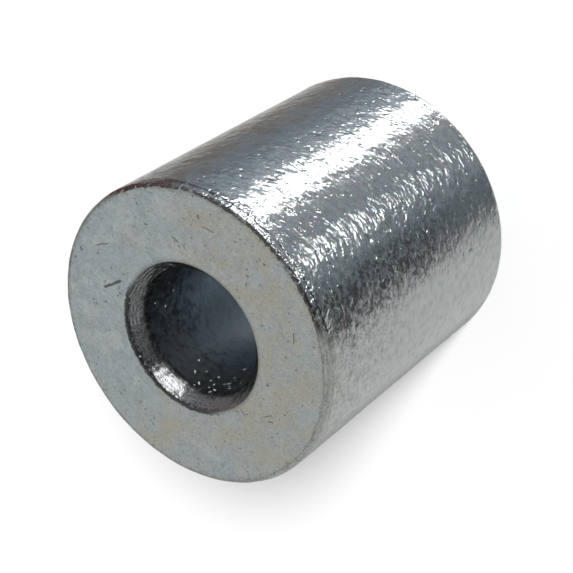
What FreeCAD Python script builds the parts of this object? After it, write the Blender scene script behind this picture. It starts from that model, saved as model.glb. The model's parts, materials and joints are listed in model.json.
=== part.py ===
import FreeCAD, Part
import math
import os

# A cable stop sleeve: a short thick-walled tube that is slid over the end of a wire rope
# and squeezed there. It stands on one end face, with its bore along +Z.
# The origin is the middle of the lower end face. All sizes are in millimetres.

outer_diameter = 17.0
length = 18.3

# The bore passes a 6.35 mm wire rope with room for the strands to slide through
bore_diameter = 7.1

# Both mouths are countersunk, so that the rope's strands run in without fraying
mouth_diameter = 8.5
countersink_angle = 82.0

# Rounded edges: the outer rims, the lip where a countersink meets its end face,
# and the throat where the countersink runs into the straight bore
rim_radius = 0.3
lip_radius = 0.1
throat_radius = 0.6

# An edge is never rounded by more than this share of the shorter face beside it
largest_round_share = 0.45


def countersink_depth():
    """Depth of the cone between the end face and the straight bore."""
    half_angle = math.radians(countersink_angle / 2)
    return (mouth_diameter - bore_diameter) / 2 / math.tan(half_angle)


def section_corners():
    """Sharp corners of the wall's section as (radius, height, rounding), anticlockwise."""
    outer = outer_diameter / 2
    bore = bore_diameter / 2
    mouth = mouth_diameter / 2
    depth = countersink_depth()
    return [
        (mouth, 0, lip_radius),
        (outer, 0, rim_radius),
        (outer, length, rim_radius),
        (mouth, length, lip_radius),
        (bore, length - depth, throat_radius),
        (bore, depth, throat_radius),
    ]


def rounded_corner(before, corner, after, radius):
    """Arc that is tangent to both sides of one corner of the section."""
    to_before = before - corner
    to_after = after - corner
    shorter = min(to_before.Length, to_after.Length)
    half_angle = to_before.getAngle(to_after) / 2
    setback = min(radius / math.tan(half_angle), shorter * largest_round_share)
    fitted_radius = setback * math.tan(half_angle)
    to_before.normalize()
    to_after.normalize()
    start = corner + to_before * setback
    end = corner + to_after * setback
    inward = to_before + to_after
    inward.normalize()
    centre = corner + inward * (fitted_radius / math.sin(half_angle))
    middle = centre - inward * fitted_radius
    return Part.Arc(start, middle, end), start, end


def wall_section():
    """Closed face of the wall, in the XZ plane on the +X side of the axis."""
    corners = section_corners()
    points = [FreeCAD.Vector(radius, 0, height) for radius, height, _ in corners]
    rounds = []
    for index, (_, _, rounding) in enumerate(corners):
        before = points[index - 1]
        after = points[(index + 1) % len(points)]
        rounds.append(rounded_corner(before, points[index], after, rounding))
    edges = []
    for index, (arc, _, end) in enumerate(rounds):
        next_start = rounds[(index + 1) % len(rounds)][1]
        edges.append(arc.toShape())
        edges.append(Part.LineSegment(end, next_start).toShape())
    return Part.Face(Part.Wire(edges))


def stop_sleeve():
    """The whole sleeve: its wall section turned once round the bore's axis."""
    axis_point = FreeCAD.Vector(0, 0, 0)
    axis = FreeCAD.Vector(0, 0, 1)
    return wall_section().revolve(axis_point, axis, 360)


def main():
    os.makedirs("parts", exist_ok=True)
    sleeve = stop_sleeve()
    sleeve.exportStep("parts/stop_sleeve.step")
    print("stop_sleeve", sleeve.ShapeType, "valid", sleeve.isValid(), "volume", round(sleeve.Volume, 2))
    print("countersink depth", round(countersink_depth(), 3))


main()
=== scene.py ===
import functools
import json
import math
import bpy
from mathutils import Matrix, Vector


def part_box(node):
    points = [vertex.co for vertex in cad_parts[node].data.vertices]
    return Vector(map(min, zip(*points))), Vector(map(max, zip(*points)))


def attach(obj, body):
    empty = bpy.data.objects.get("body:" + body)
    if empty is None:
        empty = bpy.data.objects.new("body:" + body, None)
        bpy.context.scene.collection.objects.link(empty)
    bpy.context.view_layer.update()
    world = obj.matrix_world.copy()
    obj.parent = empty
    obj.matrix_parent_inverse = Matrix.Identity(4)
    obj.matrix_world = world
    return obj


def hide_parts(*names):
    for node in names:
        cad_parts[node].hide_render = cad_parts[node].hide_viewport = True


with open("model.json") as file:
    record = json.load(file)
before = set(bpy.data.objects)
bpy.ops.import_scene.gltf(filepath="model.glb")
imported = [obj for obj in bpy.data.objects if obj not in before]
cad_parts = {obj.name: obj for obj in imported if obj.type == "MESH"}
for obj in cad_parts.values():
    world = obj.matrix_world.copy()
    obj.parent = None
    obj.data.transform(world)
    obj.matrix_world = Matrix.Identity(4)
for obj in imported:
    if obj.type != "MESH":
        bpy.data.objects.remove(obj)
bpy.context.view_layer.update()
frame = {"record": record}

from types import SimpleNamespace

import bpy
from mathutils import Matrix, Vector, noise

mm = 0.001

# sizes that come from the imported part
sleeveLow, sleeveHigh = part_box("stop_sleeve")
outerRadius = (sleeveHigh[0] - sleeveLow[0]) / 2
sleeveLength = sleeveHigh[2] - sleeveLow[2]
boreMount = [mount for mount in frame["record"]["mounts"] if mount["kind"] == "bore"][0]
boreRadius = boreMount["dims"]["r_mm"] * mm

# the sleeve's mesh: its section is drawn, cut fine and turned round the bore
sleeve = {
    "mouthRadius": 4.25 * mm,
    "countersinkDepth": 0.805 * mm,
    "rimRound": 0.30 * mm,
    "lipRound": 0.10 * mm,
    "throatRound": 0.22 * mm,
    "wedges": 8,
    "facesInWedge": 47,
    "proudest": 0.014 * mm,  # how far a crest may stand above the middle of the surface
    "sideCuts": 106,
    "upperFaceCuts": 26,
    "lowerFaceCuts": 7,
    "upperConeCuts": 28,
    "lowerConeCuts": 7,
    "boreCuts": 50,
    "mostCuts": 100,  # in one go, the operator's own limit
    "pickReach": 0.01 * mm,
    "cornerReach": 0.02 * mm,
    "wallReach": 0.1 * mm,
    "cutLonger": 0.3 * mm,  # edges of the section longer than this are cut
    "halvesReach": 0.26,  # share of a run that reaches the middles of its halves and no other wall
    "weldReach": 0.002 * mm,
}


def pick(piece, kind, test):
    # selects the vertices or edges whose middle passes the test, and stays in edit mode
    bpy.ops.object.mode_set(mode="EDIT")
    bpy.ops.mesh.select_mode(type=kind)
    bpy.ops.mesh.select_all(action="DESELECT")
    bpy.ops.object.mode_set(mode="OBJECT")
    if kind == "VERT":
        for vertex in piece.data.vertices:
            vertex.select = test(vertex.co, 0)
    else:
        for edge in piece.data.edges:
            a, b = (piece.data.vertices[index].co for index in edge.vertices)
            edge.select = test((a + b) / 2, (a - b).length)
    bpy.ops.object.mode_set(mode="EDIT")


def near(radius, height):
    return lambda point, length: math.hypot(point.x - radius, point.z - height) < sleeve["cornerReach"]


def cutRun(piece, middle, length, cuts):
    reach = sleeve["halvesReach"] * length
    if cuts >= sleeve["mostCuts"]:
        pick(piece, "EDGE", lambda point, size: (point - middle).length < sleeve["pickReach"])
        bpy.ops.mesh.subdivide(number_cuts=1)
        cuts = cuts // 2
    pick(piece, "EDGE", lambda point, size: size > sleeve["cutLonger"] and (point - middle).length < reach)
    bpy.ops.mesh.subdivide(number_cuts=cuts)


def cutsFor(middle):
    reach = sleeve["wallReach"]
    if abs(middle.x - outerRadius) < reach:
        return sleeve["sideCuts"]
    if abs(middle.x - boreRadius) < reach:
        return sleeve["boreCuts"]
    if middle.z > sleeveLength - reach:
        return sleeve["upperFaceCuts"]
    if middle.z < reach:
        return sleeve["lowerFaceCuts"]
    return sleeve["upperConeCuts"] if middle.z > sleeveLength / 2 else sleeve["lowerConeCuts"]


def drawSection():
    top = sleeveLength - sleeve["proudest"]
    outer = outerRadius - sleeve["proudest"]
    depth = sleeve["countersinkDepth"]
    corners = [  # radius, height, width of the rounding and its number of faces
        (sleeve["mouthRadius"], 0, sleeve["lipRound"], 2),
        (outer, 0, sleeve["rimRound"], 6),
        (outer, top, sleeve["rimRound"], 9),
        (sleeve["mouthRadius"], top, sleeve["lipRound"], 3),
        (boreRadius, top - depth, sleeve["throatRound"], 5),
        (boreRadius, depth, sleeve["throatRound"], 3),
    ]
    bpy.ops.mesh.primitive_circle_add(vertices=len(corners), radius=outer, fill_type="NGON")
    piece = bpy.context.active_object
    piece.name = "stopSleeve"
    for vertex, corner in zip(piece.data.vertices, corners):
        vertex.co = (corner[0], 0, corner[1])
    for radius, height, width, segments in corners:
        pick(piece, "VERT", near(radius, height))
        bpy.ops.mesh.bevel(offset=width, segments=segments, affect="VERTICES")
    bpy.ops.mesh.select_all(action="SELECT")
    bpy.ops.mesh.delete(type="ONLY_FACE")
    bpy.ops.object.mode_set(mode="OBJECT")
    return piece


def turnSleeve():
    piece = drawSection()
    runs = []
    for edge in piece.data.edges:
        a, b = (piece.data.vertices[index].co.copy() for index in edge.vertices)
        if (a - b).length > sleeve["cutLonger"]:
            runs.append(((a + b) / 2, (a - b).length))
    for middle, length in runs:
        cutRun(piece, middle, length, cutsFor(middle))
    wedge = 2 * math.pi / sleeve["wedges"]
    centre = {"center": (0, 0, 0), "axis": (0, 0, 1)}
    bpy.ops.mesh.select_all(action="SELECT")
    bpy.ops.mesh.spin(steps=sleeve["facesInWedge"], angle=wedge, **centre)
    bpy.ops.mesh.select_all(action="SELECT")
    bpy.ops.mesh.spin(steps=sleeve["wedges"] - 1, dupli=True, angle=2 * math.pi - wedge, **centre)
    bpy.ops.mesh.select_all(action="SELECT")
    bpy.ops.mesh.remove_doubles(threshold=sleeve["weldReach"])
    bpy.ops.mesh.normals_make_consistent(inside=False)
    bpy.ops.object.mode_set(mode="OBJECT")
    return piece


# dents and grain, as displacement on groups of vertices
dents = [  # the group, the grain along X, Y and Z and the depth, in millimetres
    {"group": "side", "grain": (1.0, 1.0, 0.8), "depth": 0.034},
    {"group": "side", "grain": (0.42, 0.42, 0.34), "depth": 0.024},
    {"group": "endFaces", "grain": (0.9, 0.9, 0.9), "depth": 0.010},
    {"group": "endFaces", "grain": (0.25, 0.25, 0.25), "depth": 0.006},
    {"group": "bore", "grain": (0.6, 0.6, 0.9), "depth": 0.03},
]
dentGroups = {
    "sideReach": 0.25 * mm,  # inward of the outer radius
    "boreReach": 0.6 * mm,  # inward of the mouth
    "faceReach": 0.1 * mm,  # below the upper end
    "patternStep": 10 * mm,  # from one pattern's middle to the next one's
}


def addGroups(piece):
    groups = {name: piece.vertex_groups.new(name=name) for name in ("side", "endFaces", "bore")}
    for vertex in piece.data.vertices:
        radius = math.hypot(vertex.co.x, vertex.co.y)
        if radius > outerRadius - dentGroups["sideReach"]:
            groups["side"].add([vertex.index], 1, "REPLACE")
        elif radius < sleeve["mouthRadius"] - dentGroups["boreReach"]:
            groups["bore"].add([vertex.index], 1, "REPLACE")
        elif vertex.co.z > sleeveLength - dentGroups["faceReach"]:
            groups["endFaces"].add([vertex.index], 1, "REPLACE")


def dentSurface(piece):
    addGroups(piece)
    for number, dent in enumerate(dents):
        texture = bpy.data.textures.new("dents%d" % number, type="CLOUDS")
        texture.noise_scale = 1
        texture.noise_depth = 2
        bpy.ops.object.empty_add(location=(number * dentGroups["patternStep"], 0, 0))
        space = bpy.context.active_object
        space.scale = [size * mm for size in dent["grain"]]
        press = piece.modifiers.new("press%d" % number, "DISPLACE")
        press.texture = texture
        press.texture_coords = "OBJECT"
        press.texture_coords_object = space
        press.vertex_group = dent["group"]
        press.strength = dent["depth"] * mm
        bpy.ops.object.select_all(action="DESELECT")
        piece.select_set(True)
        bpy.context.view_layer.objects.active = piece
        bpy.context.view_layer.update()
        bpy.ops.object.modifier_apply(modifier=press.name)
        bpy.data.objects.remove(space)


# marks that are placed one by one: grooves of the countersinking tool, nicks in the lip
# and a burr along part of the upper rim
marks = {
    "wander": 3,  # how quickly the grooves and the burr wander round the turn
    "coneTop": 0.1 * mm,
    "coneEdge": 0.02 * mm,
    "throatEdge": 0.03 * mm,
    "grooveStep": 0.15 * mm,
    "grooveDepth": 0.012 * mm,
    "grooveWander": 0.35,
    "groovePatch": 0.6 * mm,
    "grooveMiddle": math.radians(30),
    "coneDepth": 0.025 * mm,
    "coneGrain": 0.3 * mm,
    "lipNicks": 0.16 * mm,
    "lipReach": 0.2 * mm,
    "lipGrain": 0.22 * mm,
    "lipFineGrain": 0.1 * mm,
    "lipMiddle": math.radians(80),
    "burrInward": 0.4 * mm,
    "burrBelow": 1.2 * mm,
    "burrDepth": 0.055 * mm,
    "burrHeight": 0.34 * mm,  # below the upper end face
    "burrWander": 0.25,
    "burrWidth": 0.09 * mm,
    "burrGrain": 0.5 * mm,
    "burrMiddle": math.radians(-80),
    "burrReach": math.radians(75),
    "creaseHeight": 0.48 * mm,  # below the upper end
}


def turnedBy(angle):
    return (angle + math.pi) % (2 * math.pi) - math.pi


def grooveCone(place, outward, angle, below, wander):
    phase = 2 * math.pi * (below / marks["grooveStep"] + marks["grooveWander"] * wander)
    patch = 0.5 + 1.6 * noise.noise(place / marks["groovePatch"])
    patch *= 0.3 + 0.8 * max(0, math.cos(angle - marks["grooveMiddle"]))
    place += outward * marks["grooveDepth"] * patch * math.cos(phase)
    place += outward * marks["coneDepth"] * noise.noise(place / marks["coneGrain"])


def nickLip(place, outward, angle, away):
    nick = noise.noise(place / marks["lipGrain"]) + 0.6 * noise.noise(place / marks["lipFineGrain"])
    share = max(0, 1 - away / marks["lipReach"])
    ragged = 0.15 + 0.85 * max(0, math.cos(angle - marks["lipMiddle"])) ** 4
    place += (outward - Vector((0, 0, 0.5))) * marks["lipNicks"] * share * ragged * max(0, nick)


def pressBurr(place, outward, angle, below, wander):
    reach = max(0, 1 - abs(turnedBy(angle - marks["burrMiddle"])) / marks["burrReach"])
    rough = 1 + 0.8 * noise.noise(place / marks["burrGrain"])
    line = marks["burrHeight"] * (1 + marks["burrWander"] * wander)
    valley = math.exp(-(((below - line) / marks["burrWidth"]) ** 2))
    place -= outward * marks["burrDepth"] * valley * rough * min(1, 2 * reach)


def sculptMarks(piece):
    top = sleeveLength - sleeve["proudest"]
    coneDepth = sleeve["countersinkDepth"]
    mouth = sleeve["mouthRadius"]
    for vertex in piece.data.vertices:
        place = vertex.co
        radius = math.hypot(place.x, place.y)
        angle = math.atan2(place.y, place.x)
        outward = Vector((place.x, place.y, 0)) / radius
        below = top - place.z
        wander = noise.noise(marks["wander"] * outward)
        onCone = boreRadius + marks["throatEdge"] < radius < mouth - marks["coneEdge"]
        if onCone and marks["coneTop"] < below < coneDepth:
            grooveCone(place, outward, angle, below, wander)
        if below < marks["lipReach"] and abs(radius - mouth) < marks["lipReach"]:
            nickLip(place, outward, angle, abs(radius - mouth))
        if radius > outerRadius - marks["burrInward"] and below < marks["burrBelow"]:
            pressBurr(place, outward, angle, below, wander)


def keepInside(piece):
    for vertex in piece.data.vertices:
        place = vertex.co
        radius = math.hypot(place.x, place.y)
        if radius > outerRadius:
            place.x *= outerRadius / radius
            place.y *= outerRadius / radius
        place.z = min(max(place.z, 0), sleeveLength)


bpy.ops.object.select_all(action="DESELECT")
sleevePiece = turnSleeve()
print("sleeve turned:", len(sleevePiece.data.polygons), "faces")
dentSurface(sleevePiece)
sculptMarks(sleevePiece)
keepInside(sleevePiece)
bpy.ops.object.select_all(action="DESELECT")
sleevePiece.select_set(True)
bpy.context.view_layer.objects.active = sleevePiece
bpy.ops.object.shade_smooth()
print("surface marked")


# shader maths: a socket that can be added, multiplied and compared
class Wire:
    def __init__(self, net, socket):
        self.net = net
        self.socket = socket

    def maths(self, operation, *values):
        inputs = {0: self, **dict(enumerate(values, 1))}
        return self.net.add("ShaderNodeMath", {"operation": operation}, inputs)[0]

    def __add__(self, other):
        return self.maths("ADD", other)

    def __radd__(self, other):
        return self.maths("ADD", other)

    def __sub__(self, other):
        return self.maths("SUBTRACT", other)

    def __rsub__(self, other):
        return self.maths("MULTIPLY", -1).maths("ADD", other)

    def __mul__(self, other):
        return self.maths("MULTIPLY", other)

    def __rmul__(self, other):
        return self.maths("MULTIPLY", other)

    def __truediv__(self, other):
        return self.maths("DIVIDE", other)

    def step(self, low, high):
        # goes smoothly from 0 to 1 as the value goes from low to high
        inputs = {"Value": self, "From Min": low, "From Max": high}
        return self.net.add("ShaderNodeMapRange", {"interpolation_type": "SMOOTHSTEP"}, inputs)[0]

    def between(self, start, full, still, end):
        return self.step(start, full) * self.step(end, still)

    def spread(self, width):
        # a pattern turned into a shift to both sides
        return (self - 0.5) * width


class Net:
    def __init__(self, owner):
        owner.use_nodes = True
        self.tree = owner.node_tree
        self.tree.nodes.clear()

    def add(self, kind, settings=None, inputs=None):
        node = self.tree.nodes.new(kind)
        for name, value in (settings or {}).items():
            if name == "stops":
                self.fillRamp(node.color_ramp, value)
            else:
                setattr(node, name, value)
        for name, value in (inputs or {}).items():
            socket = node.inputs[name]
            if isinstance(value, Wire):
                self.tree.links.new(value.socket, socket)
            elif socket.type == "RGBA":
                socket.default_value = (*value, 1)
            else:
                socket.default_value = value
        return [Wire(self, socket) for socket in node.outputs if socket.enabled]

    def fillRamp(self, ramp, stops):
        while len(ramp.elements) < len(stops):
            ramp.elements.new(1)
        for element, (place, colour) in zip(ramp.elements, stops):
            element.position = place
            element.color = (*colour, 1)

    def vector(self, operation, *values):
        return self.add("ShaderNodeVectorMath", {"operation": operation}, dict(enumerate(values)))[0]

    def split(self, vector):
        return self.add("ShaderNodeSeparateXYZ", None, {0: vector})

    def mixColour(self, share, under, over):
        return self.add("ShaderNodeMix", {"data_type": "RGBA"}, {0: share, 6: under, 7: over})[0]

    def shrunk(self, place, grain):
        return self.vector("MULTIPLY", place, tuple(1 / size for size in grain))

    def noise(self, place, grain, detail, roughness):
        inputs = {"Vector": self.shrunk(place, grain), "Scale": 1, "Detail": detail, "Roughness": roughness}
        return self.add("ShaderNodeTexNoise", None, inputs)[0]

    def wobble(self, place, grain):
        inputs = {"Vector": self.shrunk(place, grain), "Scale": 1, "Detail": 0}
        return self.add("ShaderNodeTexNoise", None, inputs)[1]

    def pits(self, place, grain, share, width):
        # sparse steep pits: 1 at the bottom of a pit, 0 on the plain surface
        inputs = {"Vector": self.shrunk(place, grain), "Scale": 1}
        cells = self.add("ShaderNodeTexVoronoi", {"feature": "F1"}, inputs)
        chance = self.split(cells[1])[0]
        return cells[0].step(width, width / 3) * chance.step(1 - share, 1.05 - share)


# zinc plate over turned steel; sizes in millimetres, compass directions in degrees
zinc = {
    "bright": (0.63, 0.655, 0.66),
    "dull": (0.47, 0.49, 0.50),
    "faceBlue": (0.545, 0.615, 0.645),
    "faceCream": (0.635, 0.63, 0.575),
    "facePale": (0.74, 0.75, 0.74),
    "faceGrime": (0.27, 0.25, 0.20),
    "faceOlive": (0.59, 0.565, 0.46),
    "stain": (0.21, 0.18, 0.185),
    "straw": (0.50, 0.44, 0.38),
    "steelBlue": (0.50, 0.56, 0.63),
    "copper": (0.24, 0.10, 0.09),
    "dark": (0.05, 0.05, 0.05),
    "flush": (0.52, 0.33, 0.35),
    "cone": (0.38, 0.39, 0.395),
    "bore": (0.42, 0.48, 0.53),
    "boreDark": (0.33, 0.34, 0.34),
    "sideRoughness": 0.10,
    "faceRoughness": 0.48,
    "coneRoughness": 0.17,
    "boreRoughness": 0.36,
    "mottleRoughness": 0.10,
    "tableRoughness": 0.16,
    "relief": 0.030,
    "tint": 0.10,
    "wobbleGrain": (0.286, 0.286, 0.286),
    "wobbleReach": (0.40, 0.40, 0.30),
    "scratchBend": (0.08, 0.08, 0),
    "scratches": [  # ends on the upper end face and half width
        (4.77, 3.24, 4.54, 1.99, 0.11), (6.80, 1.97, 6.47, 1.13, 0.035),
        (4.72, -3.07, 4.33, -3.22, 0.04), (4.02, -3.36, 3.77, -3.37, 0.035),
        (4.17, -5.22, 3.66, -5.63, 0.035), (-4.47, -0.15, -4.90, -0.14, 0.035),
        (-5.36, -1.10, -5.57, -1.80, 0.022), (-2.60, -6.31, -3.05, -5.94, 0.035),
    ],
    # scuffs on the side, painted pale and unmetallic as glints
    "paleScuffs": [  # ends on the side, as direction and depth below the upper end, and half width
        (-110.2, 0.65, -107.5, 1.19, 0.07), (-112.9, 0.76, -111.0, 1.12, 0.05),
        (-101.0, 12.1, -99.7, 12.6, 0.05), (-103.5, 9.97, -106.0, 9.95, 0.03),
        (-109.2, 2.17, -111.4, 2.17, 0.035), (-108.5, 1.6, -110.0, 1.9, 0.03),
    ],
    "darkScuffs": [
        (-117.6, 4.28, -114.6, 4.70, 0.045), (-115.4, 6.20, -113.8, 6.50, 0.045),
        (-117.5, 6.96, -120.9, 6.85, 0.03), (-118.5, 9.20, -120.5, 9.30, 0.03),
        (-119.0, 2.20, -121.0, 2.00, 0.025),
    ],
    # pale, unmetallic flecks on the wall of the bore, painted as glints
    "glintFlecks": [  # on the wall of the bore: direction, depth below the upper end and half width
        (110, 2.70, 0.08), (129, 1.32, 0.10), (144, 0.95, 0.14), (147, 1.20, 0.12), (124, 2.40, 0.08),
        (137, 2.40, 0.09), (150, 2.70, 0.10), (152, 2.00, 0.15), (149, 1.85, 0.11), (160, 1.45, 0.10),
        (148, 3.85, 0.07), (171, 2.60, 0.10), (6, 2.20, 0.08), (43, 1.60, 0.06), (42, 3.10, 0.07),
        (118, 1.90, 0.07), (133, 1.80, 0.07), (156, 1.75, 0.09), (139, 1.30, 0.09), (165, 2.05, 0.08),
        (30, 2.60, 0.08), (52, 2.40, 0.08), (141, 1.60, 0.07), (154, 2.40, 0.08), (127, 1.00, 0.08),
    ],
    "fleckBend": (0.30, 0.30, 0),
    "rimRoughness": 0.14,
    "rimRelief": 2.6,
}

# patterns: grain along X, Y and Z, detail and roughness of the noise
patterns = {
    "cloudy": ((4.5, 4.5, 4.5), 3, 0.5),
    "patchy": ((1.3, 1.3, 1.3), 4, 0.6),
    "blotchy": ((1.5, 1.5, 1.5), 4, 0.6),
    "mottle": ((0.5, 0.5, 0.4), 3, 0.6),
    "speck": ((0.17, 0.17, 0.17), 3, 0.65),
    "grain": ((0.11, 0.11, 0.08), 2, 0.6),
    "salt": ((0.09, 0.09, 0.09), 1, 0.5),
    "fine": ((0.05, 0.05, 0.05), 1, 0.5),
    "turning": ((1.4, 1.4, 0.09), 3, 0.6),
    "lumps": ((0.95, 0.95, 0.75), 0, 0.5),
}
wobbledPatterns = {
    "peel": ((0.46, 0.46, 0.27), 0, 0.5),
    "beads": ((0.24, 0.24, 0.20), 0, 0.5),
    "smudges": ((0.34, 0.34, 0.30), 4, 0.7),
    "scuffs": ((1.1, 1.1, 0.12), 2, 0.5),
    "fibresAlong": ((0.40, 0.13, 0.2), 3, 0.6),
    "fibresAcross": ((0.12, 0.36, 0.2), 3, 0.6),
}
pitPatterns = {  # grain, share of the cells that have one and half width
    "bigPits": ((0.90, 0.90, 0.50), 0.45, 0.38),
    "smallPits": ((0.44, 0.44, 0.27), 0.30, 0.42),
    "facePits": ((0.34, 0.34, 0.34), 0.30, 0.30),
}

# parts of the turn that differ: middle, half width and how softly it ends
places = {
    "shadyBand": (-22, 16, 10),
    "stained": (-111, 6, 8),
    "calmSide": (-152, 32, 12),
    "copper": (-20, 11, 10),
    "burr": (-68, 42, 14),
    # the rim's painted dark reflection: where it lies, where it is faint and where it is thicker
    "rimDirt": (-64, 48, 12),
    "oldDirt": (60, 70, 30),
    "thickDirt": (-96, 16, 12),
    "lipDirt": (90, 58, 20),
    "throatDirt": (105, 95, 40),
    "sooty": (25, 45, 25),
    "flushed": (166, 16, 14),
}

# where a zone starts and is full, in millimetres from its edge unless it is a pattern's value
zones = {
    "side": (0.24, 0.06),
    "mouth": (0.02, -0.03),
    "bore": (0.14, 0.03),
    "scratchTop": (0.5, 0.2),
    "mottledRim": (0.36, 0.22),
    "mottledTop": (0.52, 0.32),
    "fleckBreaks": (0.34, 0.52),
    "scuffBreaks": (0.36, 0.56),
    "stainedDepth": (16, 9),
    "creamDepth": (1.8, 0.6),
    "workedDepth": (12, 1),
    "rightward": (-5, 3),
    "boreShade": (2.2, 5.5),
    "darkNearMouthDepth": (5.0, 3.2),
    "lipLine": (-0.16, -0.04, 0.08, 0.20),  # start, full, still full and end
    "throatLine": (0.50, 0.66, 1.0, 1.15),
    "flushDepth": (0.95, 0.1),
    "rimTop": (0.45, 0.30),
    "rimLineInner": (0.27, 0.20),
    "rimLineOuter": (0.05, 0.12),
    "rimLineBreaks": (0.36, 0.48),
    "turnedRim": (0.34, 0.24),
    "creaseWidth": (0.075, 0.02),
    "creaseSide": (0.12, 0.06),
    "creaseBreaks": (0.88, 1.0),
    "copperDepth": (0.84, 0.60),
    "copperSide": (0.20, 0.10),
    "copperSalt": (0.4, 0.6),
    "tableRim": (1.2, 0.5),
    "beadDepth": (1.1, 0.6),
}

# how far each pattern stands out, or is sunk, as a share of the relief
reliefs = {
    "lumps": 1.2,
    "sideGrain": 0.10,
    "sideFine": 0.05,
    "bigPits": 0.9,
    "smallPits": 0.5,
    "beads": 0.5,
    "burrBeads": 1.3,
    "faceSpecks": 0.5,
    "faceGrain": 0.30,
    "faceFine": 0.15,
    "facePits": 0.5,
    "scratches": 0.5,
    "coneGrain": 0.30,
    "coneTurning": 0.35,
}

# layers of colour: its name, how much of it shows, and where its pattern starts and is full
layers = {
    "dullSpots": ("dull", 0.75, 0.40, 0.72),
    "strawHaze": ("straw", 0.75, 0.45, 0.60),
    "blueHaze": ("steelBlue", 0.60, 0.50, 0.38),
    "stainSpots": ("stain", 0.95, 0.47, 0.56),
    "stainCurls": ("facePale", 0.75, 0.43, 0.37),
    "scuffs": ("dull", 0.50, 0.60, 0.68),
    "pitShade": ("dark", 0.15, 0, 1),
    "rimCream": ("faceCream", 0.75, 0.38, 0.58),
    "workedStain": ("stain", 0.50, 0.48, 0.62),
    "workedPale": ("facePale", 0.50, 0.46, 0.36),
    "workedPepper": ("faceGrime", 0.35, 0.52, 0.74),
    "cream": ("faceCream", 1, -6, 6),
    "paleFibres": ("facePale", 0.50, 0.98, 1.25),
    "dullFibres": ("dull", 0.70, 0.98, 0.72),
    "faceShadeGradient": ("dull", 0.30, 9, -9),
    "dullClouds": ("dull", 0.55, 0.42, 0.72),
    "oliveBlots": ("faceOlive", 0.70, 0.48, 0.60),
    "blueBlots": ("faceBlue", 0.55, 0.47, 0.36),
    "paleBlots": ("facePale", 0.45, 0.52, 0.62),
    "facePepper": ("faceGrime", 0.30, 0.52, 0.76),
    "faceSalt": ("facePale", 0.34, 0.48, 0.24),
    "faceSpecks": ("faceGrime", 0.50, 0.55, 0.74),
    "darkFaceEdge": ("faceGrime", 0.50, 0.40, 0.24),
    "facePitShade": ("dark", 0.55, 0, 1),
    "scratchDark": ("dark", 0.80, 0, 0.9),
    "scuffGlint": ("facePale", 0.8, 0, 0.9),
    "scuffDark": ("dark", 0.60, 0, 0.9),
    "coneDark": ("dark", 0.60, 0.45, 0.70),
    "deepBoreReflection": ("bore", 1, 2.2, 5.5),
    "boreBlots": ("dark", 0.50, 0.45, 0.70),
    "throatShade": ("dark", 0.65, 0.38, 0.52),
    "darkNearMouth": ("dark", 0.60, 0.42, 0.58),
    "flush": ("flush", 0.55, 0.25, 0.75),
    "turnover": ("facePale", 0.85, 0.36, 0.54),
    "turnoverDark": ("faceGrime", 0.60, 0.54, 0.70),
    "copper": ("copper", 1, 0.78, 0.98),
}


def layer(net, under, name, pattern, mask=1):
    colour, share, start, full = layers[name]
    return net.mixColour(pattern.step(start, full) * mask * share, under, zinc[colour])


def biggest(first, second):
    return first.maths("MAXIMUM", second)


def window(compass, middle, half, soft):
    # 1 near one side of the sleeve, fading to 0 away from it
    away = (compass - middle + 540).maths("MODULO", 360) - 180
    return away.maths("ABSOLUTE").step(half + soft, half)


def scratchMask(net, place, scratch):
    x1, y1, x2, y2, width = scratch
    along = (x2 - x1, y2 - y1, 0)
    reach = net.vector("SUBTRACT", place, (x1, y1, 0))
    share = net.vector("DOT_PRODUCT", reach, along) / (along[0] ** 2 + along[1] ** 2)
    share = share.maths("MAXIMUM", 0).maths("MINIMUM", 1)
    foot = net.add("ShaderNodeVectorMath", {"operation": "SCALE"}, {0: along, 3: share})[0]
    return net.vector("DISTANCE", reach, foot).step(width, 0.3 * width)


def unrolled(net, look, radius, bend):
    # the place on a round wall laid out flat: distance along the turn and depth below the upper end
    along = look.compass * (math.radians(1) * radius / mm)
    flat = net.add("ShaderNodeCombineXYZ", None, {0: along, 1: look.below})[0]
    return net.vector("ADD", flat, net.vector("MULTIPLY", look.shift, bend))


def scuffMask(net, look, scuffs):
    place = unrolled(net, look, outerRadius, zinc["scratchBend"])
    degree = math.radians(1) * outerRadius / mm
    masks = []
    for start, high, end, low, width in scuffs:
        masks.append(scratchMask(net, place, (start * degree, high, end * degree, low, width)))
    return functools.reduce(biggest, masks) * look.onSide


def glintFleckMask(net, look):
    place = unrolled(net, look, boreRadius, zinc["fleckBend"])
    degree = math.radians(1) * boreRadius / mm
    masks = []
    for angle, depth, width in zinc["glintFlecks"]:
        masks.append(net.vector("DISTANCE", place, (angle * degree, depth, 0)).step(width, 0.3 * width))
    return functools.reduce(biggest, masks) * look.inBore


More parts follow.
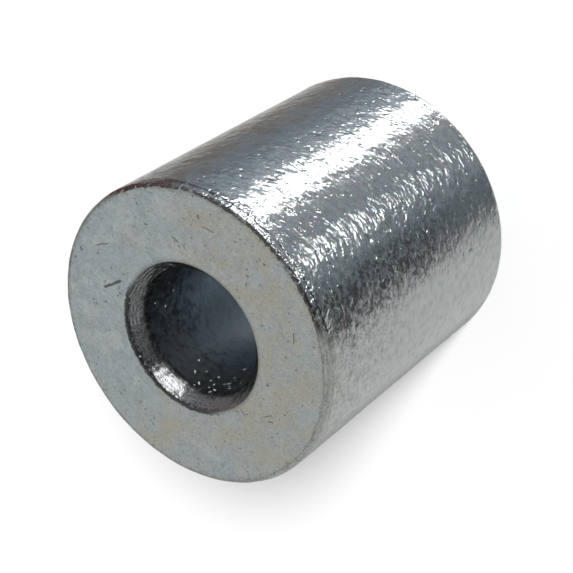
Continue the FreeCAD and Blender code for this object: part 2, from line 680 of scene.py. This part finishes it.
def lookUp(net):
    # places, patterns and distances that all the colours share, in millimetres and degrees
    surface = net.add("ShaderNodeTexCoord")[3]
    place = net.vector("MULTIPLY", surface, (1 / mm, 1 / mm, 1 / mm))
    x, y, z = net.split(place)
    radius = net.vector("LENGTH", net.vector("MULTIPLY", place, (1, 1, 0)))
    compass = y.maths("ARCTAN2", x) * (180 / math.pi)
    wobble = net.wobble(place, zinc["wobbleGrain"])
    shift = net.vector("SUBTRACT", wobble, (0.5, 0.5, 0.5))
    wobbled = net.vector("ADD", place, net.vector("MULTIPLY", shift, zinc["wobbleReach"]))
    found = {name: net.noise(place, *numbers) for name, numbers in patterns.items()}
    found.update({name: net.noise(wobbled, *numbers) for name, numbers in wobbledPatterns.items()})
    found.update({name: net.pits(wobbled, *numbers) for name, numbers in pitPatterns.items()})
    where = {name: window(compass, *numbers) for name, numbers in places.items()}
    found.update(x=x, y=y, compass=compass, wobble=wobble, shift=shift)
    found.update(flat=net.vector("MULTIPLY", place, (1, 1, 0)), where=SimpleNamespace(**where))
    found.update(below=sleeveLength / mm - z, inward=outerRadius / mm - radius)
    found.update(outMouth=radius - sleeve["mouthRadius"] / mm, outBore=radius - boreRadius / mm)
    return SimpleNamespace(**found)


def colourSide(net, look):
    tone = layer(net, zinc["bright"], "dullSpots", look.mottle)
    tone = layer(net, tone, "strawHaze", look.patchy, look.where.shadyBand)
    tone = layer(net, tone, "blueHaze", look.patchy, look.where.shadyBand)
    stained = look.where.stained * look.below.step(*zones["stainedDepth"])
    tone = layer(net, tone, "stainSpots", look.smudges, stained)
    tone = layer(net, tone, "stainCurls", look.smudges, stained)
    tone = layer(net, tone, "scuffs", look.scuffs)
    tone = layer(net, tone, "pitShade", biggest(look.bigPits, look.smallPits), look.calm)
    tone = net.mixColour(zinc["tint"], tone, look.wobble)
    nearRim = (look.below - look.patchy.spread(1.5)).step(*zones["creamDepth"])
    tone = layer(net, tone, "rimCream", look.smudges, look.where.calmSide * nearRim)
    worked = look.where.calmSide * look.below.step(*zones["workedDepth"])
    tone = layer(net, tone, "workedStain", look.smudges, worked)
    tone = layer(net, tone, "workedPale", look.smudges, worked)
    tone = layer(net, tone, "workedPepper", look.salt, worked)
    tone = layer(net, tone, "scuffDark", scuffMask(net, look, zinc["darkScuffs"]) * (0.4 + look.grain))
    # painted glints: pale scuffs on the side
    return layer(net, tone, "scuffGlint", look.paleScuffs)


def colourFace(net, look, scratched):
    across = look.x * -0.56 + look.y * -0.607 + look.cloudy.spread(26) + look.patchy.spread(8)
    rightward = across.step(*zones["rightward"])
    fibres = look.fibresAlong + look.fibresAcross
    tone = layer(net, zinc["faceBlue"], "cream", across)
    tone = layer(net, tone, "paleFibres", fibres)
    tone = layer(net, tone, "dullFibres", fibres)
    # painted shade: the face grows evenly darker towards one side (-X)
    tone = layer(net, tone, "faceShadeGradient", look.x * 0.94 + look.y * 0.34)
    tone = layer(net, tone, "dullClouds", look.mottle)
    tone = layer(net, tone, "oliveBlots", look.blotchy, rightward)
    tone = layer(net, tone, "blueBlots", look.blotchy)
    tone = layer(net, tone, "paleBlots", look.blotchy, 1 - rightward)
    tone = layer(net, tone, "facePepper", look.salt)
    tone = layer(net, tone, "faceSalt", look.salt)
    tone = layer(net, tone, "faceSpecks", look.speck)
    # the face turns darker towards its outer edge, along a ragged line
    ragged = (fibres - 1) * 0.7 + look.speck.spread(0.7)
    tone = layer(net, tone, "darkFaceEdge", look.inward - ragged)
    # painted shade in the face's pits
    tone = layer(net, tone, "facePitShade", look.facePits)
    return layer(net, tone, "scratchDark", scratched * (0.4 + look.grain))


def colourBore(net, look):
    deep = look.below - look.mottle.spread(5)
    # painted reflection: the bore's colour turns from the darker grey at the mouth to a lighter blue deeper
    # in
    tone = layer(net, zinc["boreDark"], "deepBoreReflection", deep)
    tone = layer(net, tone, "boreBlots", look.mottle, 1 - deep.step(*zones["boreShade"]) * 0.7)
    # darker patches near the mouth on one side of the bore
    return layer(net, tone, "darkNearMouth", look.smudges, look.where.sooty * deep.step(*zones["darkNearMouthDepth"]))


def colourMouth(net, look, tone):
    # a dark line at the lip of the countersink, painted shade at its throat, pale flecks in the bore
    # painted as glints, and a faint flush at its lower side
    # a dark ragged line along the lip of the countersink
    lip = look.outMouth + look.speck.spread(0.34) + look.mottle.spread(0.2)
    lipDirt = lip.between(*zones["lipLine"]) * (look.where.lipDirt * 0.7 + 0.2)
    tone = net.mixColour(lipDirt, tone, zinc["dark"])
    # painted glints: pale flecks on the wall of the bore
    tone = net.mixColour(look.flecked, tone, zinc["facePale"])
    # painted shade along the throat, where the countersink meets the bore
    throat = look.below - look.speck.spread(0.4) - look.mottle.spread(0.4)
    throat = throat.between(*zones["throatLine"])
    tone = layer(net, tone, "throatShade", look.smudges, throat * look.inside * look.where.throatDirt)
    flushed = look.inside * look.where.flushed * look.below.step(*zones["flushDepth"])
    return layer(net, tone, "flush", look.patchy, flushed)


def colourRim(net, look, tone):
    # painted dark reflection in the line where the rim turns over, painted shade in the crease of the burr
    # and a flash of bare copper
    # painted dark reflection: a ragged dark line in the rim's rounding, where it turns over
    inward = look.inward - look.speck.spread(0.22) - look.mottle.spread(0.16)
    thick = look.where.thickDirt * 0.05 + look.patchy.spread(0.18)
    line = (inward - thick).step(*zones["rimLineInner"]) * inward.step(*zones["rimLineOuter"])
    line = line * look.below.step(*zones["rimTop"]) * look.smudges.step(*zones["rimLineBreaks"])
    line = line * (look.where.rimDirt * 0.85 + look.where.oldDirt * 0.35)
    tone = net.mixColour(line, tone, zinc["dark"])
    turned = look.where.calmSide * inward.step(*zones["turnedRim"]) * look.below.step(*zones["rimTop"])
    tone = layer(net, tone, "turnover", look.smudges, turned)
    tone = layer(net, tone, "turnoverDark", look.speck, turned)
    # painted shade: a dark, broken line along the crease of the burr
    wander = look.below - look.mottle.spread(0.35) - look.speck.spread(0.2) - marks["creaseHeight"] / mm
    crease = wander.maths("ABSOLUTE").step(*zones["creaseWidth"]) * look.inward.step(*zones["creaseSide"])
    crease = crease * look.where.burr * (look.patchy + look.smudges).step(*zones["creaseBreaks"])
    tone = net.mixColour(crease * 0.9, tone, zinc["dark"])
    copperEdge = look.below - look.mottle.spread(0.8) - look.speck.spread(0.6)
    flash = look.where.copper * copperEdge.step(*zones["copperDepth"])
    flash = flash * look.inward.step(*zones["copperSide"])
    flash = flash * (0.6 + 0.4 * look.salt.step(*zones["copperSalt"]))
    return layer(net, tone, "copper", look.smudges + look.patchy, flash)


def sheen(look):
    side = zinc["sideRoughness"]
    rough = side + zinc["mottleRoughness"] * look.mottle + look.onFace * (zinc["faceRoughness"] - side)
    rough = rough + look.inside * (zinc["coneRoughness"] - side)
    rough = rough + look.inBore * (zinc["boreRoughness"] - zinc["coneRoughness"])
    rough = rough + look.turned * zinc["rimRoughness"]
    nearTable = look.onSide * look.where.calmSide * look.below.step(*zones["tableRim"])
    return rough + nearTable * zinc["tableRoughness"]


def reliefHeight(look, scratched):
    side = look.lumps * reliefs["lumps"] + look.peel
    side = side + look.grain * reliefs["sideGrain"] + look.fine * reliefs["sideFine"]
    side = (side - look.bigPits * reliefs["bigPits"] - look.smallPits * reliefs["smallPits"]) * look.calm
    beads = look.where.burr * reliefs["burrBeads"] + reliefs["beads"]
    side = side + look.beads * look.below.step(*zones["beadDepth"]) * beads
    face = look.speck * reliefs["faceSpecks"] + look.grain * reliefs["faceGrain"]
    face = face + look.fine * reliefs["faceFine"] - look.facePits * reliefs["facePits"]
    face = face - scratched * reliefs["scratches"]
    cone = look.grain * reliefs["coneGrain"] + look.turning * reliefs["coneTurning"]
    rim = (look.smudges + look.speck) * look.turned * zinc["rimRelief"]
    return side * look.onSide + face * look.onFace + cone * look.inside + rim


def makeZinc():
    material = bpy.data.materials.new("zincPlate")
    net = Net(material)
    look = lookUp(net)
    look.onSide = look.inward.step(*zones["side"])
    look.inside = look.outMouth.step(*zones["mouth"])
    look.inBore = look.outBore.step(*zones["bore"])
    look.onFace = (1 - look.onSide) * (1 - look.inside)
    look.calm = 1 - look.where.calmSide * 0.48
    nearRim = look.inward.step(*zones["mottledRim"]) * look.below.step(*zones["mottledTop"])
    look.turned = look.where.calmSide * nearRim
    look.flecked = glintFleckMask(net, look) * look.smudges.step(*zones["fleckBreaks"])
    broken = look.smudges.step(*zones["scuffBreaks"])
    look.paleScuffs = scuffMask(net, look, zinc["paleScuffs"]) * broken

    bent = net.vector("ADD", look.flat, net.vector("MULTIPLY", look.shift, zinc["scratchBend"]))
    masks = [scratchMask(net, bent, scratch) for scratch in zinc["scratches"]]
    scratched = functools.reduce(biggest, masks) * look.below.step(*zones["scratchTop"])

    colour = net.mixColour(look.onFace, colourSide(net, look), colourFace(net, look, scratched))
    cone = layer(net, zinc["cone"], "coneDark", look.grain)
    colour = net.mixColour(look.inside, colour, cone)
    colour = net.mixColour(look.inBore, colour, colourBore(net, look))
    colour = colourRim(net, look, colourMouth(net, look, colour))
    bump = {"Height": reliefHeight(look, scratched), "Distance": zinc["relief"] * mm, "Strength": 1}
    shader = net.add("ShaderNodeBsdfPrincipled", None, {
        "Base Color": colour,
        # the painted glints, pale flecks in the bore and pale scuffs on the side, are not metallic
        "Metallic": 1 - biggest(look.flecked, look.paleScuffs * 0.5),
        "Roughness": sheen(look),
        "Normal": net.add("ShaderNodeBump", None, bump)[0],
    })[0]
    net.add("ShaderNodeOutputMaterial", None, {"Surface": shader})
    return material


sleevePiece.data.materials.append(makeZinc())
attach(sleevePiece, "root")
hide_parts("stop_sleeve")
print("zinc plate laid on")


# what the metal mirrors: a studio ring of soft boxes, dark gaps and pale table,
# told by compass direction in degrees; the camera sees plain white behind it
studio = {
    "ring": [
        (0, (0.25, 0.30, 0.345)), (12, (0.20, 0.235, 0.27)), (25, (0.245, 0.245, 0.26)),
        (40, (0.21, 0.20, 0.19)), (50, (0.31, 0.30, 0.28)), (62, (0.56, 0.55, 0.52)),
        (74, (0.72, 0.72, 0.69)), (88, (0.56, 0.56, 0.54)), (100, (0.32, 0.32, 0.31)),
        (120, (0.42, 0.43, 0.42)), (134, (0.60, 0.61, 0.595)), (190, (0.59, 0.60, 0.585)),
        (205, (0.53, 0.54, 0.53)), (217, (0.20, 0.21, 0.22)), (225, (0.14, 0.155, 0.165)),
        (243, (0.16, 0.19, 0.205)), (256, (0.25, 0.28, 0.30)), (285, (0.28, 0.315, 0.335)),
        (303, (0.38, 0.40, 0.42)), (345, (0.42, 0.47, 0.52)), (359, (0.255, 0.31, 0.35)),
    ],
    "sky": [
        (0, (0.27, 0.29, 0.31)), (30, (0.25, 0.25, 0.25)), (60, (0.42, 0.42, 0.41)),
        (90, (0.60, 0.61, 0.60)), (150, (0.36, 0.37, 0.36)), (190, (0.27, 0.28, 0.28)),
        (216, (0.35, 0.355, 0.35)), (250, (0.25, 0.255, 0.255)), (275, (0.14, 0.145, 0.15)),
        (340, (0.18, 0.19, 0.20)), (359, (0.27, 0.29, 0.31)),
    ],
    "boxes": [  # middle, lean to one side as the height grows, half width, softness, light and heights
        (314.5, -11.5, 7.5, 3, 3.4, -2, 0.72),
        (306, 0, 17, 6, 3.4, 0.32, 0.70),
        (270, 0, 4, 2, 3.6, -0.725, -0.1),
        (238, 0, 18, 10, 0.22, 0.36, 0.74),
    ],
    "boxTop": 0.1,  # how softly a box ends above, and below
    "boxFoot": 0.03,
    "skyFrom": (-0.3, 0.1),
    "paleFrom": (0.45, 0.75),
    "darkReach": (0.55, 0.85),
    "darkToward": Vector((0, -0.69, 0.72)),
    "paleTone": (0.62, 0.64, 0.645),
    "darkTone": (0.05, 0.055, 0.06),
    "shadeLevel": 0.35,
}


def lightStudio():
    world = bpy.data.worlds.new("studio")
    bpy.context.scene.world = world
    world.cycles.sampling_method = "NONE"
    net = Net(world)
    toward = net.add("ShaderNodeTexCoord")[0]
    x, y, z = net.split(toward)
    compass = y.maths("ARCTAN2", x) * (180 / math.pi)
    compass = (compass + 360).maths("MODULO", 360)
    rings = []
    for name in ("ring", "sky"):
        stops = [(angle / 360, colour) for angle, colour in studio[name]]
        rings.append(net.add("ShaderNodeValToRGB", {"stops": stops}, {0: compass / 360})[0])
    tone = net.mixColour(z.step(*studio["skyFrom"]), *rings)
    tone = net.mixColour(z.step(*studio["paleFrom"]), tone, studio["paleTone"])
    facing = net.vector("DOT_PRODUCT", toward, tuple(studio["darkToward"].normalized()))
    tone = net.mixColour(facing.step(*studio["darkReach"]), tone, studio["darkTone"])
    for middle, lean, half, soft, light, lowest, highest in studio["boxes"]:
        offset = (compass - middle - z * lean).maths("ABSOLUTE")
        lit = offset.step(half + soft, half) * z.step(highest + studio["boxTop"], highest)
        lit = lit * z.step(lowest - studio["boxFoot"], lowest + studio["boxFoot"])
        tone = net.mixColour(lit, tone, (light,) * 3)
    plain = (1, 1, 1)
    mirrored = net.add("ShaderNodeBackground", None, {"Color": tone, "Strength": 1})[0]
    shade = net.add("ShaderNodeBackground", None, {"Color": plain, "Strength": studio["shadeLevel"]})[0]
    white = net.add("ShaderNodeBackground", None, {"Color": plain, "Strength": 1})[0]
    path = net.add("ShaderNodeLightPath")
    camera, glossy, transmitted = path[0], path[3], path[6]
    mirroring = biggest(glossy, transmitted)
    seen = net.add("ShaderNodeMixShader", None, {0: mirroring, 1: shade, 2: mirrored})[0]
    shown = net.add("ShaderNodeMixShader", None, {0: camera, 1: seen, 2: white})[0]
    net.add("ShaderNodeOutputWorld", None, {"Surface": shown})


lightStudio()

# camera: the photograph's view of the sleeve, rolled as the photograph has it
view = {
    "distance": 10.191,  # in outer radii
    "elevation": 0.82458,
    "roll": 2.17268,
    "aimRight": -0.07131,
    "aimUp": 0.07872,
    "focal": 1555.6,  # in pixels of a 573 pixel frame
    "frame": 573,
    "sensor": 36,
    "clipStart": 5 * mm,
}


def cameraAxes():
    centre = Vector((0, 0, sleeveLength / 2))
    back = Vector((0, -math.cos(view["elevation"]), math.sin(view["elevation"])))
    place = centre + back * view["distance"] * outerRadius
    right = Vector((1, 0, 0))
    up = back.cross(right)
    target = centre + (right * view["aimRight"] + up * view["aimUp"]) * outerRadius
    back = (place - target).normalized()
    right = Vector((0, 0, 1)).cross(back).normalized()
    up = back.cross(right)
    turn = view["roll"]
    rolledRight = right * math.cos(turn) - up * math.sin(turn)
    rolledUp = right * math.sin(turn) + up * math.cos(turn)
    return place, rolledRight, rolledUp, back


def placeCamera():
    place, right, up, back = cameraAxes()
    bpy.ops.object.camera_add()
    camera = bpy.context.active_object
    camera.matrix_world = Matrix((
        (right.x, up.x, back.x, place.x),
        (right.y, up.y, back.y, place.y),
        (right.z, up.z, back.z, place.z),
        (0, 0, 0, 1),
    ))
    camera.data.sensor_width = view["sensor"]
    camera.data.lens = view["focal"] / view["frame"] * view["sensor"]
    camera.data.clip_start = view["clipStart"]
    bpy.context.scene.camera = camera


placeCamera()

# floor and key light: the light stands beside the camera, so that the shadow falls behind
# the sleeve and shows only along its lower edge
table = {
    "size": 6,
    "colour": (0.86, 0.86, 0.86),
    "keyStrength": 3.85,
    "keySoftness": math.radians(16),
    "keyRight": -0.025,
    "keyUp": 0.135,
}


def makeFloor():
    bpy.ops.mesh.primitive_plane_add(size=table["size"], location=(0, 0, 0))
    floor = bpy.context.active_object
    floor.name = "tableTop"
    material = bpy.data.materials.new("tablePaper")
    net = Net(material)
    paper = net.add("ShaderNodeBsdfDiffuse", None, {"Color": table["colour"]})[0]
    net.add("ShaderNodeOutputMaterial", None, {"Surface": paper})
    floor.data.materials.append(material)
    floor.visible_glossy = False


def placeKey():
    place, right, up, back = cameraAxes()
    toward = (back + right * table["keyRight"] + up * table["keyUp"]).normalized()
    bpy.ops.object.light_add(type="SUN", rotation=toward.to_track_quat("Z", "Y").to_euler())
    key = bpy.context.active_object
    key.data.energy = table["keyStrength"]
    key.data.angle = table["keySoftness"]
    key.visible_glossy = False


makeFloor()
placeKey()
bpy.context.scene.view_settings.view_transform = "Standard"
print("studio set")
